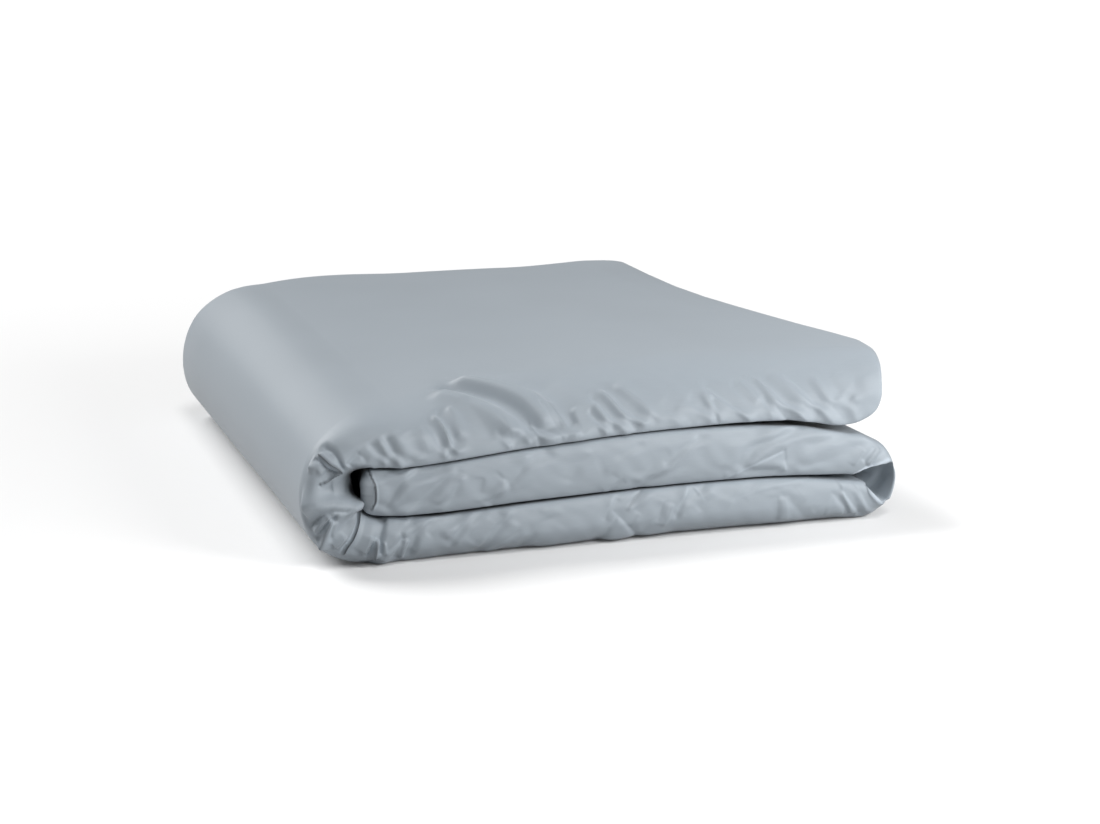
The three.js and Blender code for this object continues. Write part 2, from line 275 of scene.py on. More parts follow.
# The folds of the middle layer, from its tucked-in end to the tight bend.
MIDDLE_FOLDS = (
    fold(-3.0, 6, (16, 15), (29, 22), (43, 27), crisp=0.3),
    fold(4.0, 7, (25, -12), (34, 4), (42, 15), (54, 29)),
    fold(-3.0, 9, (31, -9), (41, 2), (58, 10), (84, 20), crisp=0.3),
    fold(2.8, 7, (46, -19), (72, 1), (90, 16)),
    fold(-2.6, 6, (79, -12), (91, 0), (103, 10)),
    fold(1.8, 6, (82, -19), (94, -6), (99, 5)),
    fold(1.8, 6, (120, -15), (124, 4), crisp=0.4),
    fold(2.0, 7, (126, -12), (144, 3), crisp=0.4),
    fold(-2.4, 7, (133, -22), (148, -3), crisp=0.4),
    fold(2.4, 7, (152, -3), (164, 7), (172, 21)),
    fold(-2.0, 9, (157, -5), (173, 3), (195, 18), crisp=0.3),
    fold(2.2, 9, (216, -8), (225, 7), (236, 17), crisp=0.3),
    fold(2.2, 8, (254, 3), (271, 12), (290, 23), crisp=0.4),
    fold(-2.6, 8, (258, -1), (274, 6), (292, 17), crisp=0.4),
    fold(1.6, 6, (255, -26), (267, -14)),
    fold(-1.8, 6, (263, -28), (274, -18)),
    fold(3.0, 8, (292, -16), (309, -2), (323, 4), crisp=0.4),
    fold(3.2, 6, (322, -2), (335, 8), (352, 19), crisp=0.6),
    fold(-4.0, 8, (297, -26), (311, -17), (326, -6), (339, 3), (356, 15)),
    fold(1.5, 12, (315, -26), (337, -9), (361, 9), crisp=0.2),
    fold(4.5, 8, (405, -14), (418, 4), (435, 15), (456, 30)),
    fold(-2.6, 9, (394, -11), (404, 8), (426, 26), crisp=0.3),
    fold(-4.5, 8, (416, -10), (436, 1), (453, 12), (473, 27)),
    fold(2.8, 4, (392, -24), (412, -16), (431, -7), (450, 0), crisp=0.9, lean=-0.6, fade=0.1),
    fold(3.6, 4, (453, 2), (457, -18), crisp=0.8, lean=0.3),
    fold(3.4, 9, (456, -9), (477, 5), (501, 20)),
    fold(-2.4, 7, (452, 8), (471, 20), (492, 30), crisp=0.4),
    fold(-2.6, 10, (479, -10), (497, 4), (519, 17), crisp=0.3),
    fold(2.4, 8, (481, -18), (508, -5), (530, 4), (548, 15), crisp=0.4),
    fold(-1.6, 5, (538, -9), (545, 5)),
    fold(2.4, 4, (550, -4), (557, 10), crisp=0.7),
    fold(-3.2, 4, (557, -6), (563, 10), crisp=0.6),
    fold(2.4, 5, (561, -14), (564, 2), (570, 17), crisp=0.6),
    fold(1.0, 1.6, (548, -17), (564, -7), (571, 1), (574, 9), crisp=1, lean=0, fade=0.1),
    fold(-6.0, 2.6, (616, -20), (609, -8), (606, -2), crisp=0.9, lean=0, fade=0.1),
    fold(1.0, 1.6, (620, -18), (616, -7), (614, 1), (612, 8), crisp=1, lean=0, fade=0.1),
)

# The folds of the bottom layer, from the tight bend back to the big bend.
BOTTOM_FOLDS = (
    fold(-1.8, 6, (622, -17), (616, -2), (614, 14)),
    fold(2.8, 5, (639, -20), (629, -4), (617, 14), crisp=0.6),
    fold(-2.4, 6, (642, -24), (633, -6), (621, 11)),
    fold(3.6, 5, (657, -23), (651, -8), (641, 3), (629, 15), crisp=0.7, lean=-0.4),
    fold(-3.6, 4, (654, -8), (641, 12), crisp=0.6),
    fold(2.4, 5, (665, -9), (651, 4), (639, 17), crisp=0.6, lean=-0.4),
    fold(-2.0, 6, (669, 13), (652, 12)),
    fold(1.8, 6, (683, 9), (666, -6)),
    fold(-1.2, 8, (708, -16), (698, -4)),
    fold(2.2, 6, (724, -10), (709, 2), (693, 19), lean=-0.4),
    fold(-2.4, 6, (718, 14), (722, -6)),
    fold(2.8, 6, (729, 16), (731, -8), crisp=0.6),
    fold(1.6, 5, (774, -12), (744, -20), (712, -24), crisp=0.6),
    fold(-1.5, 7, (765, -13), (751, -28)),
    fold(1.5, 6, (779, -12), (764, -26)),
    fold(-1.5, 8, (794, -29), (792, -16), (783, -7), crisp=0.3),
    fold(2.0, 7, (817, -5), (804, -19), crisp=0.4),
    fold(-4.0, 5, (818, -18), (808, -28), (799, -34), crisp=0.6),
    fold(2.6, 4, (828, -35), (821, -26), (813, -14), crisp=0.8, lean=-0.5),
    fold(-3.2, 6, (838, -1), (826, -11), (816, -23)),
    fold(3.8, 5, (843, -1), (836, -15), (828, -31), crisp=0.8),
    fold(3.2, 5, (864, 4), (859, -14), crisp=0.6),
    fold(-3.2, 5, (857, 9), (849, -9), crisp=0.6),
    fold(2.4, 6, (883, 22), (873, 6), (861, 1)),
    fold(3.0, 6, (894, 1), (884, -11), (873, -23)),
    fold(-1.5, 5, (893, 7), (886, -4)),
    fold(-6.0, 4, (894, -14), (884, -24), (871, -33), crisp=0.8, lean=0.2),
    fold(3.8, 5, (910, -7), (899, 4), (884, 25), crisp=0.7, lean=-0.5),
    fold(-2.0, 5, (916, -4), (907, -20)),
    fold(2.6, 4, (921, -6), (914, -20), (906, -33), crisp=0.7),
    fold(4.0, 6, (924, 26), (918, 6), (910, -3), crisp=0.7),
    fold(-1.5, 10, (987, 26), (972, 2), crisp=0.2),
    fold(3.0, 6, (1008, 19), (998, 0), (988, -7), (975, -12)),
    fold(-2.0, 7, (1016, 10), (1004, -5), (991, -12), crisp=0.4),
    fold(1.8, 4, (1045, 23), (1031, 10), (1016, 2), crisp=0.7),
    fold(-2.6, 8, (1042, 24), (1030, 10), (1019, -6), crisp=0.3),
    fold(4.0, 6, (1051, 18), (1040, 0), (1029, -12), (1023, -21), crisp=0.6),
    fold(-2.6, 6, (1057, 10), (1046, -6), (1033, -18), crisp=0.4),
    fold(2.0, 8, (1060, 4), (1044, -12), crisp=0.3),
    fold(-3.0, 6, (1077, 1), (1064, -11), (1045, -26)),
    fold(3.2, 5, (1084, 2), (1074, -9), (1060, -24), crisp=0.6),
    fold(-5.0, 7, (1086, -6), (1076, -19), (1060, -29)),
    fold(1.6, 6, (1106, -8), (1094, -21)),
    fold(-2.0, 8, (1121, 8), (1110, -9), (1095, -18), crisp=0.3),
    fold(4.0, 6, (1126, 8), (1121, -8), (1109, -21), (1093, -27), crisp=0.6),
    fold(-5.0, 7, (1132, -11), (1122, -22), (1108, -31)),
    fold(2.6, 6, (1135, -11), (1127, -29)),
    fold(3.0, 5, (1162, 25), (1151, 6), (1136, -4), (1124, -13), (1110, -25), crisp=0.6),
    fold(-3.0, 4, (1135, 14), (1130, -2), crisp=0.6),
    fold(2.0, 4, (1139, 15), (1135, -1)),
    fold(-4.2, 8, (1154, 13), (1143, -4), (1135, -22)),
    fold(4.0, 5, (1158, -7), (1156, -15), (1152, -26), crisp=0.6),
    fold(4.5, 2.6, (1156, 8), (1157, 0), (1158, -5), crisp=0.95, lean=0),
    fold(-4.5, 4, (1151, 8), (1154, -2), crisp=0.6),
    fold(-7.0, 3.2, (1161, 12), (1162, 3), (1162, -4), crisp=0.9, lean=0),
    fold(4.0, 2.6, (1167, 11), (1166, 2), (1162, -6), crisp=0.95, lean=0),
    fold(-3.5, 4, (1171, 8), (1169, -6), crisp=0.6),
    fold(2.0, 7, (1181, 9), (1180, -9), (1179, -22), crisp=0.4),
)

# The gathers round the side of the big bend, and the pleats that take it in under the top layer.
BEND_FOLDS = (
    fold(-9.0, 5, (1204, 21), (1208, 13), (1216, 2), crisp=0.8, lean=0.2),
    fold(4.5, 3.5, (1205, 10), (1212, 3), (1220, -4), crisp=0.8),
    fold(4.0, 3.5, (1208, 19), (1213, 13), (1219, 4), crisp=0.7),
    fold(-7.0, 4, (1214, 17), (1218, 11), (1222, 3), crisp=0.8),
    fold(-5.0, 4, (1196, 14), (1194, 2), crisp=0.6),
    fold(5.0, 5, (1221, 19), (1226, 9), (1227, -4), (1221, -15), crisp=0.5, lean=-0.4),
    fold(
        -9.0, 8, (1234, 20), (1234, 10), (1232, -3), (1222, -19), (1208, -33), crisp=0.3, lean=0,
        fade=0.1,
    ),
    fold(-4.5, 2.0, (1253, 7), (1257, 0), (1265, -5), (1271, -7), crisp=0.95, lean=0, fade=0.08),
    fold(2.2, 2.4, (1251, 8), (1254, 5), crisp=0.8, lean=0),
    fold(-4.0, 4, (1262, 22), (1264, 15), (1262, 10), crisp=0.5),
    fold(2.2, 1.8, (1268.5, 21), (1268.5, 14), (1268, 5), (1268, -3), crisp=1, lean=0, fade=0.08),
    fold(
        -6.5, 1.8, (1272, 20), (1272, 14), (1271.5, 6), (1272.5, -6), crisp=0.95, lean=0, fade=0.06
    ),
    fold(3.5, 3.2, (1278, 21), (1279.5, 14), (1279, 5), (1276, -6), crisp=0.7, lean=0),
    fold(2.5, 4, (1285, -9), (1291, -6), (1298, -4), crisp=0.5, lean=0),
)
FOLDS = TOP_FOLDS + MIDDLE_FOLDS + BOTTOM_FOLDS + BEND_FOLDS

# How strongly the cloth is creased along its length.
CREASED = table(
    "s share", (0, 0.9), (180, 0.85), (240, 0.6), (520, 0.6), (620, 0.7), (700, 0.45), (1080, 0.5),
    (1130, 0.9), (1180, 1), (1300, 1), (1340, 0.9), (1420, 1.3), (1600, 1.0), (1740, 0.9), (1875, 0.8)
)

# Where the cloth as a whole swells or sinks: its middle (s, w), its reach either way, and its rise.
SWELLS = table(
    "s w long tall rise",
    (1250, -4, 14, 12, 7),
    (1266, 7, 6, 9, 3),
    (1202, -12, 10, 16, 5),
    (1250, 15, 12, 8, -2.5),
    (0, 14, 8, 12, -4),
    (430, -20, 22, 8, -3.5),
    (905, 22, 16, 9, -4),
    (868, 22, 18, 7, -2.5),
    (1152, 20, 10, 8, -2.5),
    (966, 24, 26, 10, -2),
    (720, 18, 30, 8, -2),
    (60, 22, 26, 10, -2),
    (1118, 24, 24, 9, -1.5),
)

# The inner skin is drawn in at the big bend and beside it, past this line of (s, w).
HOLLOW_LINE = table(
    "s w", (1110, -48), (1130, -38), (1148, -24), (1168, -20), (1186, -22), (1197, -28), (1205, -30),
    (1218, -24), (1230, -17), (1240, -11), (1253, -6), (1264, -3), (1272, -3), (1280, -5),
    (1290, -9), (1304, -19), (1312, -24), (1322, -44)
)
# How deep the hollow is drawn in, over what slope, and how strong a painted shade darkens it at the foot
# of that slope.
HOLLOW = {"deep": 16, "slope": 26, "painted_shade": 0.9}

# The edge is drawn in between two lips at the tight bend, on these lines of (w, s), and this deep.
LIPS = table(
    "w upper lower deep", (-40, 520, 642, 50), (-28, 532, 629, 56), (-18, 548, 619, 56),
    (-7, 566, 615, 54), (1, 573, 613, 48), (9, 576, 611, 38), (14, 579, 610, 16), (18, 583, 608, 0),
    (50, 584, 606, 0)
)
POCKET = {"crease": 0.87, "wall": 0.12, "share": 0.45, "lip": 1.8}

# The side of the big bend laps over the bottom layer at this line of (w, s), and stands out by this.
LAP_LINE = table(
    "w s", (-42, 1198), (-34, 1193), (-22, 1188), (-12, 1187), (-1, 1187), (10, 1188), (24, 1187)
)
LAP = {"out": 2.2, "rim": 0.7, "edge": 0.4, "reach": 26, "undercut": 1.6, "fade": (-50, -36, 15, 22)}

# The stitched hem of the tucked-in end, as a line of (w, s).
HEM_LINE = table("w s", (-16, 12), (-13, 13), (-8, 15), (-1, 15), (10, 13), (16, 10), (23, 7), (32, 4))
HEM = {"deep": 1.3, "wide": 1.1, "sunk": 0.8, "fade": (-20, -14, 34, 44)}


# The lamps, by azimuth from the front and elevation in degrees. One at a distance of 0 is far away,
# and its size is an angle in degrees; the sizes and distances of the others are in metres.
LAMPS = (
    ("back_left_lamp", -142, 42, 0, 40, 3.45),
    ("overhead_lamp", -5, 62, 0, 20, 0.92),
    ("near_front_lamp", 20, 22, 1.5, 0.5, 9.4),
    ("near_right_lamp", 52, 16, 1.4, 0.5, 6.4),
)


def through(places, values):
    """A smooth curve through values, one row for each place."""
    t = np.asarray(places, float)
    v = np.asarray(values, float).reshape(len(t), -1)
    slope = np.diff(v, axis=0) / np.diff(t)[:, None]
    tangent = np.vstack([slope[:1], (slope[:-1] + slope[1:]) / 2, slope[-1:]])

    def at(s):
        k = np.clip(np.searchsorted(t, s, side="right") - 1, 0, len(t) - 2)
        h = (t[k + 1] - t[k])[..., None]
        u = (s - t[k])[..., None] / h
        return (
            (2 * u**3 - 3 * u**2 + 1) * v[k] + (u**3 - 2 * u**2 + u) * h * tangent[k]
            + (3 * u**2 - 2 * u**3) * v[k + 1] + (u**3 - u**2) * h * tangent[k + 1]
        )

    return at


def smoothstep(low, high, x):
    u = np.clip((x - low) / (high - low), 0, 1)
    return u * u * (3 - 2 * u)


ALONG = np.r_[0, np.cumsum(np.hypot(np.diff(SECTION["x"]), np.diff(SECTION["z"])))]
LENGTH = ALONG[-1]
section_at = through(ALONG, np.array(list(SECTION.values())).T)
end_at = through(END_LINE["y"], np.array([END_LINE["top"], END_LINE["tucked"]]).T)
lean_at = through(LEAN["y"], LEAN["out"])
crown_at = through(CROWN["x"], np.array([CROWN[line] for line in ("front", "near", "far", "back")]).T)
lap_at = through(LAP_LINE["w"], LAP_LINE["s"])
hem_at = through(HEM_LINE["w"], HEM_LINE["s"])
hollow_at = through(HOLLOW_LINE["s"], HOLLOW_LINE["w"])
lips_at = through(LIPS["w"], np.array([LIPS[name] for name in ("upper", "lower", "deep")]).T)


def crown_rise(x, y):
    """How much higher the stack stands at x and y."""
    lines = crown_at(np.clip(x, 0, WIDTH))
    t = np.array(CROWN_LINES, float)
    slope = np.diff(lines) / np.diff(t)
    tangent = np.concatenate([slope[..., :1], (slope[..., :-1] + slope[..., 1:]) / 2, slope[..., -1:]], -1)
    k = np.clip(np.searchsorted(t, y, side="right") - 1, 0, len(t) - 2)
    h = t[k + 1] - t[k]
    u = (y - t[k]) / h

    def pick(rows, i):
        return np.take_along_axis(rows, i[..., None], -1)[..., 0]

    return (
        (2 * u**3 - 3 * u**2 + 1) * pick(lines, k) + (u**3 - 2 * u**2 + u) * h * pick(tangent, k)
        + (3 * u**2 - 2 * u**3) * pick(lines, k + 1) + (u**3 - u**2) * h * pick(tangent, k + 1)
    )


def stations(step, rings):
    """Places along the cloth: close together where it is gathered and where its ends round off."""
    easing = 1 - np.cos(np.linspace(0, QUARTER, rings + 1)[:-1])
    line = np.arange(END["tuck"], LENGTH - END["round"], 0.5)
    closer = sum(
        share * smoothstep(low - 10, low, line) * (1 - smoothstep(high, high + 10, line))
        for low, high, share in zip(*GATHERED.values())
    )
    count = np.cumsum(0.5 / (step * (1 - closer)))
    middle = np.interp(np.linspace(count[0], count[-1], int(count[-1])), count, line)
    return np.concatenate([END["tuck"] * easing, middle, LENGTH - END["round"] * easing[::-1]])


def corner_profile(power):
    """The share of the height and of the depth along a quarter of a superellipse."""
    turn = np.linspace(0, QUARTER, 500)
    tall, deep = np.sin(turn) ** (2 / power), 1 - np.cos(turn) ** (2 / power)
    length = np.r_[0, np.cumsum(np.hypot(np.diff(tall), np.diff(deep)))]

    def at(arc):
        run = arc * length[-1]
        return np.interp(run, length, tall), np.interp(run, length, deep)

    return at


pressed_profile = corner_profile(PRESSED["power"])


def ring_places(back, skin, front):
    """Places round the cloth: side, share of the rounding and share of the depth of each."""
    sides, arcs, backs = [], [], []
    for side, way in ((1, 1), (-1, -1)):
        arc = np.concatenate([
            np.linspace(0, 1, back, endpoint=False), np.ones(skin), np.linspace(1, 0, front + 1),
        ])
        behind = np.concatenate([
            np.ones(back), (1 - np.arange(skin) / skin) ** 1.5, np.zeros(front + 1),
        ])
        first = 0 if side > 0 else 1
        sides.append(np.full(len(arc) - first, side))
        arcs.append(arc[::way][first:])
        backs.append(behind[::way][first:])
    return np.concatenate(sides), np.concatenate(arcs), np.concatenate(backs)


def pressed_at(s, side):
    """Whether this skin lies against another layer, from 0 to 1."""
    open_bend = smoothstep(1110, 1170, s) * (1 - smoothstep(1296, 1316, s))
    return np.where(side < 0, 1 - open_bend, 1 - smoothstep(520, 600, s))


def pocket(s, w):
    """How deep the edge is drawn in at the tight bend, and how far its two lips stand out."""
    upper, lower, deep = np.moveaxis(lips_at(np.clip(w, LIPS["w"][0], LIPS["w"][-1])), -1, 0)
    across = np.clip((s - upper) / (lower - upper), 0, 1)
    wall = smoothstep(0, POCKET["wall"], np.minimum(across, 1 - across))
    slope = np.minimum(across / POCKET["crease"], (1 - across) / (1 - POCKET["crease"]))
    lip = np.exp(-(((s - upper) / 2.5) ** 2)) + np.exp(-(((s - lower) / 2.5) ** 2))
    open_lip = np.minimum(deep / 20, 1) * (np.abs(w) < 45)
    return deep * (POCKET["share"] * wall + (1 - POCKET["share"]) * slope), POCKET["lip"] * lip * open_lip


def plain_form(s, side, arc, back, depth, parting):
    """The puffed and folded cloth without its creases, where each point is on the chart, and a painted
    shade deep in the gaps and down the hollow.
    """
    row = section_at(s)
    x0, z0, half, outer, inner, front, fill = np.moveaxis(row, -1, 0)
    half = half + np.where(side < 0, fill * (1 - back), 0)
    run = section_at(np.minimum(s + 0.5, LENGTH))[..., :2] - section_at(np.maximum(s - 0.5, 0))[..., :2]
    run /= np.linalg.norm(run, axis=-1, keepdims=True)
    under = np.where(side < 0, END["under"], 1)
    part = np.minimum(np.minimum(s / END["tuck"], (LENGTH - s) / END["round"]) / under, 1)
    cap = (1 - (1 - part) ** END["blunt"]) ** (1 / END["blunt"])
    deep = np.where(
        side > 0, END["outer"] + (outer - END["outer"]) * cap, END["inner"] + (inner - END["inner"]) * cap
    )
    pressed = pressed_at(s, side) * (1 - back)
    tight, sunk = pressed_profile(arc)
    share = side * (np.sin(QUARTER * arc) * (1 - pressed) + tight * pressed)
    tall = half * cap * share
    rounded = 1 - np.cos(QUARTER * arc)
    in_front = deep * rounded * (1 - pressed)
    in_front = in_front + (PRESSED["corner"] * sunk + PRESSED["bow"] * share**2) * pressed
    front = front + (1 - cap) * END["corner"]
    behind = np.minimum(deep, np.where(side > 0, BACK["outer"], BACK["inner"]))
    apart = parting * cap * (1 - np.minimum(np.abs(share) / PARTING_SHARE, 1)) ** 2
    rear = depth - (1 - cap) * END["corner"] - behind * rounded - apart
    y = front + in_front * (1 - back) + (rear - front) * back
    w = side * np.hypot(y - front, tall)
    height = (1 + share) / 2
    roll = PRESSED["bow"] + outer * cap * (1 - np.sqrt(np.maximum(1 - height**2, 0)))
    roll = roll + np.where(side < 0, PRESSED["corner"] * sunk, 0)
    y = y + smoothstep(*ROLLED, s) * (roll - in_front) * (1 - back)
    drawn_in, lip = pocket(s, w)
    line = hollow_at(np.clip(s, HOLLOW_LINE["s"][0], HOLLOW_LINE["s"][-1]))[..., 0]
    past = np.where((side < 0) & (s > HOLLOW_LINE["s"][0]) & (s < HOLLOW_LINE["s"][-1]), line - w, 0)
    drawn_in = drawn_in + HOLLOW["deep"] * smoothstep(0, HOLLOW["slope"], past)
    x = x0 - run[..., 1] * tall
    z = z0 + run[..., 0] * tall
    # A painted shade deep in the gaps between layers and down the slope of the hollow, faded out towards
    # the back.
    gap = np.maximum(pressed, smoothstep(*ROLLED, s) * (side < 0)) * sunk
    gap = gap * (1 - between(s, *OPEN_GAP))
    painted_shade = np.maximum(smoothstep(*PAINTED_GAP_SHADE, gap), HOLLOW["painted_shade"] * smoothstep(0, HOLLOW["slope"], past))
    painted_shade = painted_shade * (1 - back) ** 4
    return np.stack([x, y + (drawn_in - lip) * (1 - back) ** 2, z], -1), w, cap, painted_shade


def settled(points, s):
    """The cloth after both its ends, its lean and its crown have settled."""
    x, y, z = np.moveaxis(points, -1, 0)
    rise = crown_rise(x, y)
    ends = end_at(y)
    near = smoothstep(0, END_REACH, END_REACH - (LENGTH - s))
    far = smoothstep(0, END_REACH, END_REACH - s)
    x = x + ends[..., 0] * near + ends[..., 1] * far
    x = x - lean_at(y)[..., 0] * (1 - 2 * z / HEIGHT) * (1 - smoothstep(0, LEAN_REACH, x))
    z = np.maximum(z * (1 + rise / HEIGHT), 0)
    return np.stack([x, y, z], -1)


def one_fold(row, s, w):
    """How far one crease lifts the cloth, and the painted light along its path: a painted highlight on a
    ridge, a painted shade along a sunken one.
    """
    path = row["path"]
    reach = 2.2 * row["wide"]
    lift, painted_crest_light = np.zeros_like(s), np.zeros_like(s)
    low, high = path.min(0) - reach, path.max(0) + reach
    near = (s > low[0]) & (s < high[0]) & (w > low[1]) & (w < high[1])
    if not near.any():
        return lift, painted_crest_light
    ps, pw = s[near], w[near]
    legs = np.diff(path, axis=0)
    lengths = np.hypot(*legs.T)
    whole = lengths.sum()
    best = np.full(ps.shape, np.inf)
    along, lower = np.zeros_like(ps), np.zeros_like(ps)
    before = 0.0
    for start, leg, length in zip(path[:-1], legs, lengths):
        u = np.clip(((ps - start[0]) * leg[0] + (pw - start[1]) * leg[1]) / length**2, 0, 1)
        away = np.hypot(ps - start[0] - leg[0] * u, pw - start[1] - leg[1] * u)
        closer = away < best
        best = np.where(closer, away, best)
        along = np.where(closer, (before + u * length) / whole, along)
        lower = np.where(
            closer, np.sign((ps - start[0]) * leg[1] - (pw - start[1]) * leg[0]), lower
        )
        before += length
    wide = row["wide"] * (1 + row["lean"] * lower)
    soft = 0.8 * (1 - row["crisp"]) + 0.05
    off = np.hypot(best / wide, soft) - soft
    shape = np.maximum(1 - off / 1.7, 0) ** 2
    fade = row["fade"]
    strength = smoothstep(0, fade, along) * (1 - smoothstep(1 - fade, 1, along))
    lift[near] = row["rise"] * shape * strength
    # The painted light along the fold's line: a painted highlight on raised folds, a painted shade in
    # sunken ones.
    painted_crest_light[near] = np.sign(row["rise"]) * row["crisp"] ** 4 * strength * np.maximum(1 - best / 2.2, 0)
    return lift, painted_crest_light


def chart_line(at, line, w):
    """Where along the cloth a line of the chart lies, at w."""
    return at(np.clip(w, line["w"][0], line["w"][-1]))[..., 0]


def between(w, low, full, over, high):
    """A window over w that opens from low to full and closes from over to high."""
    return smoothstep(low, full, w) * (1 - smoothstep(over, high, w))


def swells(s, w):
    """How far the broad swells and hollows lift the cloth."""
    lift = np.zeros_like(s)
    for at, across, long, tall, rise in zip(*SWELLS.values()):
        lift += rise * np.exp(-(((s - at) / long) ** 2) - ((w - across) / tall) ** 2)
    return lift


def ripples(s, w):
    """Small uneven puckers all along the front edge, and a slow unevenness over the skins."""
    edge = np.exp(-((w / 34) ** 2))
    small = (
        np.sin(s / 5.3 + w / 9 + 1.7 * np.sin(s / 61)) * np.sin(s / 37 + 0.6)
        + 0.8 * np.sin(s / 7.9 - w / 6 + 2.1 * np.sin(s / 83)) * np.sin(s / 53 + 2.1)
        + 0.7 * np.sin(s / 3.7 + w / 5 + 1.3) * np.sin(s / 29 + 4.2)
    )
    slow = np.sin(s / 67 + w / 180 + 0.4) * np.sin(w / 95 + 1.1) + 0.6 * np.sin(s / 41 - w / 140 + 2.6)
    return PUCKERS["small"] * edge * small, PUCKERS["slow"] * slow * (1 - 0.5 * edge)


def creased(points, s, w, side, back, cap, strength):
    """The cloth with its folds, lap and hem, and its painted light, from -1 for the darkest painted shade
    in sunken folds to 1 for the brightest painted highlight on raised ones.
    """
    along = np.gradient(points, axis=0)
    around = np.gradient(points, axis=1)
    out = np.cross(along, around)
    length = np.linalg.norm(out, axis=-1, keepdims=True)
    out = np.where(length > 1e-9, out / np.maximum(length, 1e-9), 0)
    ridges, grooves, painted_light = np.zeros_like(s), np.zeros_like(s), np.zeros_like(s)
    for row in FOLDS:
        one, painted_crest_light = one_fold(row, s, w)
        ridges += np.maximum(one, 0) ** 3
        grooves += np.maximum(-one, 0) ** 3
        painted_light += painted_crest_light
    strength = strength * np.interp(s, CREASED["s"], CREASED["share"])
    lift = strength * (np.cbrt(ridges) - np.cbrt(grooves))
    small, slow = ripples(s, w)
    inside = pressed_at(s, side)
    lift *= 1 - inside * smoothstep(*DEEP_IN_GAP, np.abs(w))
    ahead = (inside * smoothstep(*TURNED_AHEAD, np.abs(w)))[..., None]
    out = out * (1 - ahead) + np.array([0, -1, 0]) * ahead
    lift += small + swells(s, w) + slow * smoothstep(0, 40, np.abs(w))
    past = s - chart_line(lap_at, LAP_LINE, w)
    front = between(w, *LAP["fade"])
    lapped = smoothstep(-LAP["edge"], LAP["edge"], past) * (1 - smoothstep(0, LAP["reach"], past))
    under = np.exp(-(((past + 0.9) / 0.7) ** 2))
    rim = np.exp(-(((past - 2.0) / 1.1) ** 2))
    lift += front * (LAP["out"] * lapped + LAP["rim"] * rim - LAP["undercut"] * under)
    # A painted highlight along the rim of the lap and a painted shade in the undercut beside it.
    painted_light += front * (rim - 1.5 * under)
    past = s - chart_line(hem_at, HEM_LINE, w)
    front = between(w, *HEM["fade"]) * (s < 60)
    hem = front * np.exp(-((past / HEM["wide"]) ** 2))
    lift -= HEM["deep"] * hem + HEM["sunk"] * front * (past < 0)
    # A painted highlight beside the hem's stitching, a painted shade in its stitched line and over the end
    # face past it.
    painted_light += front * 0.4 * np.exp(-(((past - 2.2) / 1.1) ** 2)) - 1.6 * hem
    painted_light -= 0.4 * front * smoothstep(0, 4, -past)
    open_front = (1 - back) ** 4
    lift = lift * cap * np.maximum(open_front, LEFT_BEHIND)
    return points + out * lift[..., None], np.clip(painted_light * open_front, -1, 1)


class Value:
    """A shader socket that numbers and other sockets can be added to, and so on."""

    def __init__(self, nodes, socket):
        self.nodes, self.socket = nodes, socket

    def _with(self, operation, other, swapped=False):
        first, second = (other, self) if swapped else (self, other)
        return self.nodes.add("ShaderNodeMath", {"operation": operation}, {0: first, 1: second})

    def __add__(self, other):
        return self._with("ADD", other)

    def __sub__(self, other):
        return self._with("SUBTRACT", other)

    def __mul__(self, other):
        return self._with("MULTIPLY", other)

    def __radd__(self, other):
        return self._with("ADD", other, swapped=True)

    def __rsub__(self, other):
        return self._with("SUBTRACT", other, swapped=True)

    def __rmul__(self, other):
        return self._with("MULTIPLY", other, swapped=True)

    def above(self, other):
        return self._with("MAXIMUM", other)

    def below(self, other):
        return self._with("MINIMUM", other)


class Nodes:
    """The node tree of one material."""

    def __init__(self, material):
        material.use_nodes = True
        self.tree = material.node_tree
        self.tree.nodes.clear()

    def node(self, kind, settings=None, inputs=None):
        made = self.tree.nodes.new(kind)
        for name, value in (settings or {}).items():
            setattr(made, name, value)
        for name, value in (inputs or {}).items():
            if isinstance(value, Value):
                self.tree.links.new(value.socket, made.inputs[name])
            else:
                made.inputs[name].default_value = value
        return made

    def add(self, kind, settings=None, inputs=None, output=0):
        return Value(self, self.node(kind, settings, inputs).outputs[output])


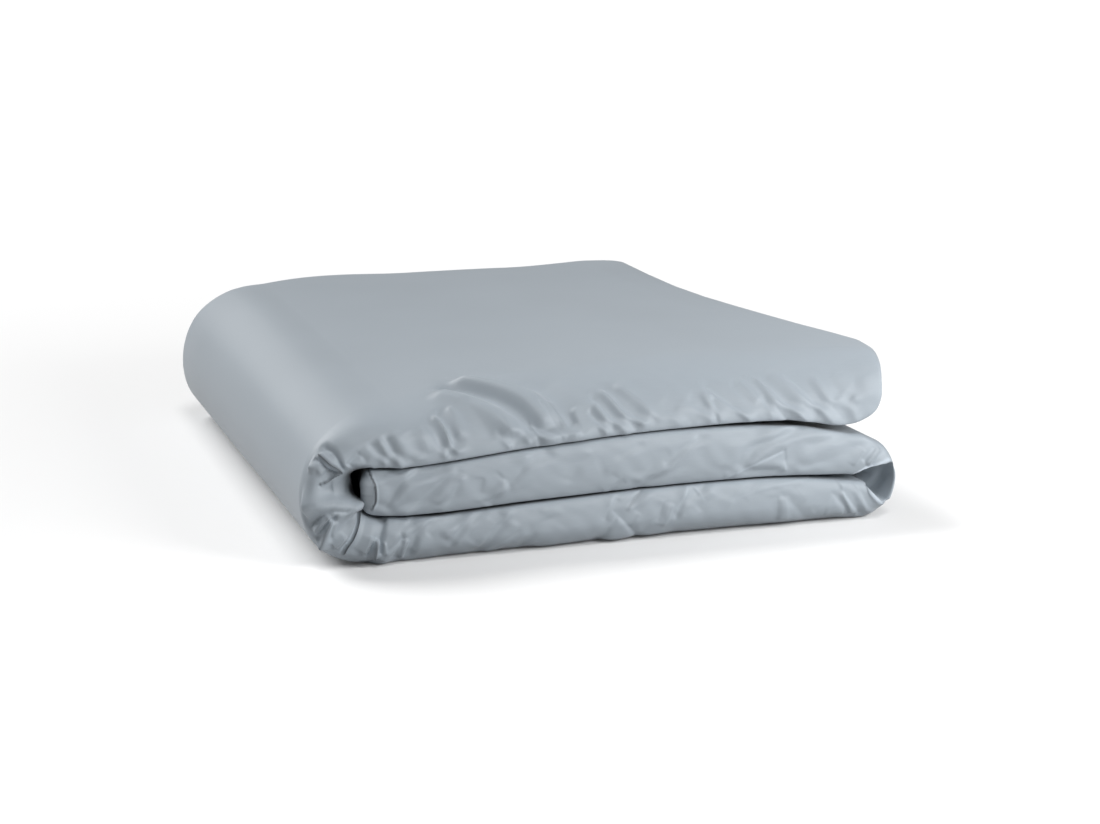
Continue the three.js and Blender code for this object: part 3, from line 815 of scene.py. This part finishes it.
def sateen_material(looks):
    """Smooth plain-dyed sateen: floats of thread along the cloth, a soft sheen, painted highlights on
    sharp crests and painted shade in grooves, gaps and the hollow.
    """
    material = bpy.data.materials.new("grey_blue_sateen")
    nodes = Nodes(material)
    cloth = nodes.add("ShaderNodeUVMap", {"uv_map": "cloth_chart"})
    slubs = nodes.add(
        "ShaderNodeTexNoise", {"noise_dimensions": "3D"},
        {"Vector": nodes.add("ShaderNodeMapping", None, {"Vector": cloth, "Scale": (60, 1400, 1)}),
         "Scale": 1.0, "Detail": 2.0},
    )
    mottle = nodes.add(
        "ShaderNodeTexNoise", {"noise_dimensions": "3D"}, {"Vector": cloth, "Scale": 9.0, "Detail": 3.0}
    )
    pitch = looks.thread_pitch
    weave = nodes.add(
        "ShaderNodeTexNoise", {"noise_dimensions": "3D"},
        {"Vector": nodes.add(
            "ShaderNodeMapping", None, {"Vector": cloth, "Scale": (0.35 / pitch, 1 / pitch, 1)}),
         "Scale": 1.0, "Detail": 1.0},
    )
    # Painted light from the cloth's attribute: paler as a painted highlight on crests and rims, darker as
    # a painted shade in grooves, gaps, seams and the hollow.
    painted_light = nodes.add("ShaderNodeAttribute", {"attribute_name": "painted_highlight_and_shade"}, output=2)
    painted_crest_light = painted_light.above(0.0)
    painted_groove_shade = (0.0 - painted_light).above(0.0)
    light = SHADE["all"] + SHADE["slubs"] * slubs + SHADE["mottle"] * mottle
    light = light + SHADE["painted_crest_light"] * painted_crest_light - SHADE["painted_groove_shade"] * painted_groove_shade
    tint = nodes.add("ShaderNodeVectorMath", {"operation": "SCALE"}, {0: looks.dye, "Scale": light})
    rough = looks.roughness - 0.04 + 0.05 * slubs + 0.04 * mottle
    bump = nodes.node(
        "ShaderNodeBump", None,
        {"Strength": 0.25, "Distance": 0.00012, "Height": weave + 0.8 * slubs},
    )
    shader = nodes.node(
        "ShaderNodeBsdfPrincipled", None,
        {"Base Color": tint, "Roughness": rough, "Normal": Value(nodes, bump.outputs[0]),
         "Sheen Weight": looks.sheen, "Sheen Roughness": 0.4, "Specular IOR Level": looks.gloss},
    )
    output = nodes.node("ShaderNodeOutputMaterial")
    nodes.tree.links.new(shader.outputs[0], output.inputs[0])
    return material


class DuvetForm(bpy.types.PropertyGroup):
    """Sizes of the folded cloth."""

    depth: FloatProperty(
        name="Depth", description="From the open folded edge in front to the back", default=0.740,
        min=0.3, max=1.5, unit="LENGTH",
    )
    parting: FloatProperty(
        name="Parting", description="How deep the two halves part along the back edge", default=0.024,
        min=0.0, max=0.05, unit="LENGTH",
    )
    creases: FloatProperty(
        name="Creases", description="How strongly the front edge is creased", default=1.0,
        min=0.0, max=2.0, subtype="FACTOR",
    )
    step: FloatProperty(
        name="Step", description="From one ring of the surface to the next along the cloth",
        default=0.0017, min=0.001, max=0.01, unit="LENGTH",
    )


class SateenLooks(bpy.types.PropertyGroup):
    """Colour and finish of the cloth."""

    dye: FloatVectorProperty(
        name="Dye", description="Colour of the sateen", default=(0.285, 0.322, 0.357), min=0, max=1,
        subtype="COLOR",
    )
    roughness: FloatProperty(
        name="Roughness", description="How dull the sateen is", default=0.52, min=0, max=1,
        subtype="FACTOR",
    )
    gloss: FloatProperty(
        name="Gloss", description="How strongly the threads reflect", default=0.38, min=0, max=1,
        subtype="FACTOR",
    )
    sheen: FloatProperty(
        name="Sheen", description="Soft light along the edges of the folds", default=0.12, min=0, max=1,
        subtype="FACTOR",
    )
    thread_pitch: FloatProperty(
        name="Thread pitch", description="From one thread to the next", default=0.00025, min=0.0001,
        max=0.002, unit="LENGTH",
    )


class StudioStage(bpy.types.PropertyGroup):
    """Floor, light and camera."""

    floor: FloatVectorProperty(
        name="Floor", description="Colour of the floor", default=(0.8, 0.8, 0.8), min=0, max=1,
        subtype="COLOR",
    )
    glow: FloatProperty(
        name="Floor glow", description="How much light the floor gives off far from the duvet",
        default=0.3, min=0, max=1,
    )
    bounce: FloatProperty(
        name="Floor bounce", description="How much light the floor throws back at the cloth", default=0.62,
        min=0, max=1, subtype="FACTOR",
    )
    even: FloatProperty(
        name="Even light", description="Strength of the even light from all round", default=0.06, min=0,
        max=5,
    )
    lamps: FloatProperty(
        name="Lamps", description="Strength of all the lamps", default=1.0, min=0, max=10,
    )
    azimuth: FloatProperty(
        name="Camera azimuth", description="How far the camera stands round from the front",
        default=np.radians(-18.5), unit="ROTATION",
    )
    elevation: FloatProperty(
        name="Camera elevation", description="How far the camera looks down", default=np.radians(13.0),
        unit="ROTATION",
    )
    distance: FloatProperty(
        name="Camera distance", description="From the camera to what it looks at", default=2.485,
        min=0.5, max=20, unit="LENGTH",
    )


class DUVET_OT_fill_and_fold(bpy.types.Operator):
    """Make the filled cover, folded, creased and finished in sateen"""

    bl_idname = "duvet.fill_and_fold"
    bl_label = "Filled and folded cover"

    def execute(self, context):
        form = context.scene.duvet_form
        s_line = stations(form.step / MM, END_RINGS)
        side, arc, back = ring_places(**PLACES)
        rings, places = len(s_line), len(side)
        shell = bmesh.new()
        bmesh.ops.create_grid(shell, x_segments=rings - 1, y_segments=places - 1, size=1)
        mesh = bpy.data.meshes.new("duvet")
        shell.to_mesh(mesh)
        shell.free()
        flat = np.empty(len(mesh.vertices) * 3)
        mesh.vertices.foreach_get("co", flat)
        flat = flat.reshape(-1, 3)
        i = np.rint((flat[:, 0] + 1) / 2 * (rings - 1)).astype(int)
        j = np.rint((flat[:, 1] + 1) / 2 * (places - 1)).astype(int)
        s = np.repeat(s_line[:, None], places, 1)
        side, arc, back = (np.repeat(v[None], rings, 0) for v in (side, arc, back))
        points, w, cap, painted_shade = plain_form(s, side, arc, back, form.depth / MM, form.parting / MM)
        points, painted_light = creased(settled(points, s), s, w, side, back, cap, form.creases)
        # The painted shade of the gaps and the hollow darkens the painted light further.
        painted_light = np.maximum(painted_light - painted_shade, -1)
        points[..., 2] = np.maximum(points[..., 2], 0)
        points[..., 0] += CLOTH_LOW.x / MM - EDGE_X
        points[..., 1] += CLOTH_LOW.y / MM - EDGE_Y
        mesh.vertices.foreach_set("co", (points[i, j] * MM).ravel())
        chart = mesh.uv_layers.new(name="cloth_chart")
        corner = np.empty(len(mesh.loops), int)
        mesh.loops.foreach_get("vertex_index", corner)
        chart.data.foreach_set("uv", (np.stack([s[i, j], w[i, j]], -1)[corner] * MM).ravel())
        # The painted highlights and painted shade are kept on the cloth as an attribute.
        painted_crest_light = mesh.attributes.new("painted_highlight_and_shade", "FLOAT", "POINT")
        painted_crest_light.data.foreach_set("value", painted_light[i, j])
        shell = bmesh.new()
        shell.from_mesh(mesh)
        bmesh.ops.remove_doubles(shell, verts=shell.verts, dist=1e-6)
        bmesh.ops.dissolve_degenerate(shell, edges=shell.edges, dist=1e-7)
        bmesh.ops.recalc_face_normals(shell, faces=shell.faces)
        for face in shell.faces:
            face.smooth = True
        shell.to_mesh(mesh)
        shell.free()
        duvet = bpy.data.objects.new("duvet", mesh)
        context.scene.collection.objects.link(duvet)
        duvet.data.materials.append(sateen_material(context.scene.sateen_looks))
        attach(duvet, "root")
        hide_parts("duvet_cover")
        return {"FINISHED"}


class DUVET_OT_studio(bpy.types.Operator):
    """Lay a plain pale floor, hang soft lamps and set up the camera"""

    bl_idname = "duvet.studio"
    bl_label = "Floor, light and camera"

    def floor(self, context, stage):
        shell = bmesh.new()
        bmesh.ops.create_grid(shell, x_segments=1, y_segments=1, size=60)
        mesh = bpy.data.meshes.new("floor")
        shell.to_mesh(mesh)
        shell.free()
        floor = bpy.data.objects.new("floor", mesh)
        context.scene.collection.objects.link(floor)
        material = bpy.data.materials.new("studio_floor")
        nodes = Nodes(material)
        place = nodes.add("ShaderNodeTexCoord", output=3)
        far = nodes.add("ShaderNodeVectorMath", {"operation": "LENGTH"}, {0: place}, output=1)
        seen = nodes.add(
            "ShaderNodeBsdfPrincipled", None,
            {"Base Color": (*stage.floor, 1), "Roughness": 0.9, "Specular IOR Level": 0.1,
             "Emission Color": (far * GLOW_SLOPE).below(1.0), "Emission Strength": stage.glow},
        )
        bounced = nodes.add("ShaderNodeBsdfDiffuse", None, {"Color": (*[stage.bounce] * 3, 1)})
        path = nodes.add("ShaderNodeLightPath")
        both = nodes.add("ShaderNodeMixShader", None, {0: path, 1: bounced, 2: seen})
        nodes.node("ShaderNodeOutputMaterial", None, {0: both})
        mesh.materials.append(material)

    def lamp(self, context, name, azimuth, elevation, distance, size, strength):
        middle = Vector((0, 0, CAD_HIGH.z / 2))
        a, e = np.radians(azimuth), np.radians(elevation)
        way = Vector((np.sin(a) * np.cos(e), -np.cos(a) * np.cos(e), np.sin(e)))
        if distance:
            data = bpy.data.lights.new(name, "AREA")
            data.shape, data.size, data.energy = "DISK", size, strength
        else:
            data = bpy.data.lights.new(name, "SUN")
            data.angle, data.energy = np.radians(size), strength
        lamp = bpy.data.objects.new(name, data)
        lamp.location = middle + way * (distance or 4)
        lamp.rotation_euler = way.to_track_quat("Z", "Y").to_euler()
        context.scene.collection.objects.link(lamp)

    def execute(self, context):
        stage = context.scene.studio_stage
        scene = context.scene
        self.floor(context, stage)
        world = bpy.data.worlds.new("even_light")
        world.use_nodes = True
        world.node_tree.nodes["Background"].inputs[0].default_value = (1, 1, 1, 1)
        world.node_tree.nodes["Background"].inputs[1].default_value = stage.even
        scene.world = world
        for name, azimuth, elevation, distance, size, strength in LAMPS:
            self.lamp(context, name, azimuth, elevation, distance, size, strength * stage.lamps)
        a, e = stage.azimuth, stage.elevation
        target = Vector(CAMERA_TARGET)
        away = Vector((np.sin(a) * np.cos(e), -np.cos(a) * np.cos(e), np.sin(e)))
        data = bpy.data.cameras.new("photo_camera")
        data.sensor_fit, data.sensor_width = "HORIZONTAL", SENSOR_WIDTH
        data.lens = SENSOR_WIDTH * FOCAL_PX / PHOTO_WIDTH_PX
        data.clip_start, data.clip_end = 0.05, 200
        camera = bpy.data.objects.new("photo_camera", data)
        camera.location = target + away * stage.distance
        camera.rotation_euler = (-away).to_track_quat("-Z", "Y").to_euler()
        scene.collection.objects.link(camera)
        scene.camera = camera
        scene.view_settings.view_transform = "Standard"
        return {"FINISHED"}


class DUVET_PT_panel(bpy.types.Panel):
    """The pieces of the folded duvet cover"""

    bl_idname = "DUVET_PT_panel"
    bl_label = "Folded duvet cover"
    bl_space_type = "VIEW_3D"
    bl_region_type = "UI"
    bl_category = "Duvet"

    def draw(self, context):
        for name in ("duvet_form", "sateen_looks", "studio_stage"):
            group = getattr(context.scene, name)
            box = self.layout.box()
            for prop in type(group).__annotations__:
                box.prop(group, prop)
        self.layout.operator(DUVET_OT_fill_and_fold.bl_idname)
        self.layout.operator(DUVET_OT_studio.bl_idname)


CLASSES = (
    DuvetForm, SateenLooks, StudioStage, DUVET_OT_fill_and_fold, DUVET_OT_studio, DUVET_PT_panel,
)


def register():
    for cls in CLASSES:
        bpy.utils.register_class(cls)
    bpy.types.Scene.duvet_form = PointerProperty(type=DuvetForm)
    bpy.types.Scene.sateen_looks = PointerProperty(type=SateenLooks)
    bpy.types.Scene.studio_stage = PointerProperty(type=StudioStage)


def unregister():
    del bpy.types.Scene.studio_stage
    del bpy.types.Scene.sateen_looks
    del bpy.types.Scene.duvet_form
    for cls in reversed(CLASSES):
        bpy.utils.unregister_class(cls)


def main():
    register()
    bpy.ops.duvet.fill_and_fold()
    bpy.ops.duvet.studio()


if __name__ == "__main__":
    main()
